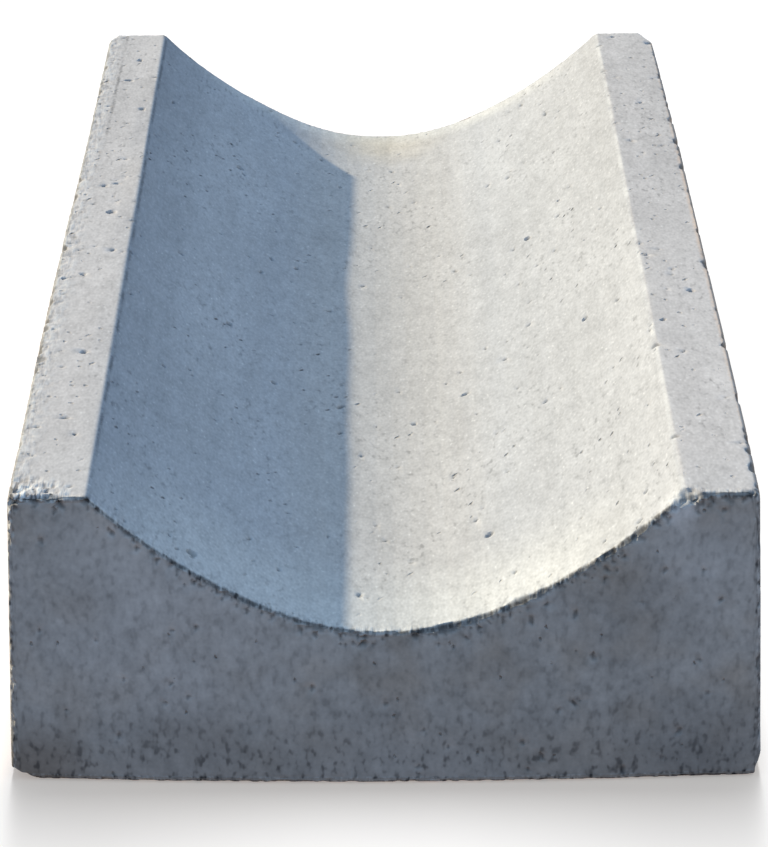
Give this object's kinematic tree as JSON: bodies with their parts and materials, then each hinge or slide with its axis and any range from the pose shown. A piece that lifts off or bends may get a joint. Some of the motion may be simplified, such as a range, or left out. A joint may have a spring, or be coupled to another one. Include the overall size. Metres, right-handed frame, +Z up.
{
  "type": "concrete gutter stone",
  "caption": "Cast concrete gutter stone: a long block with flat rims and a dished channel along its top, laid end to end to carry surface water away.",
  "frame": {"origin": "middle of the underside, on the bed that the stone is laid on", "axes": "+Z up out of the channel, +Y along the channel, +X across it"},
  "size_m": [0.3118, 0.6, 0.13],
  "materials": {
    "cast_concrete": "weathered as-cast concrete, matt, with air-bubble pits and worn edges"
  },
  "bodies": {
    "root": {"gutter_stone": "cast_concrete"}
  },
  "joints": []
}
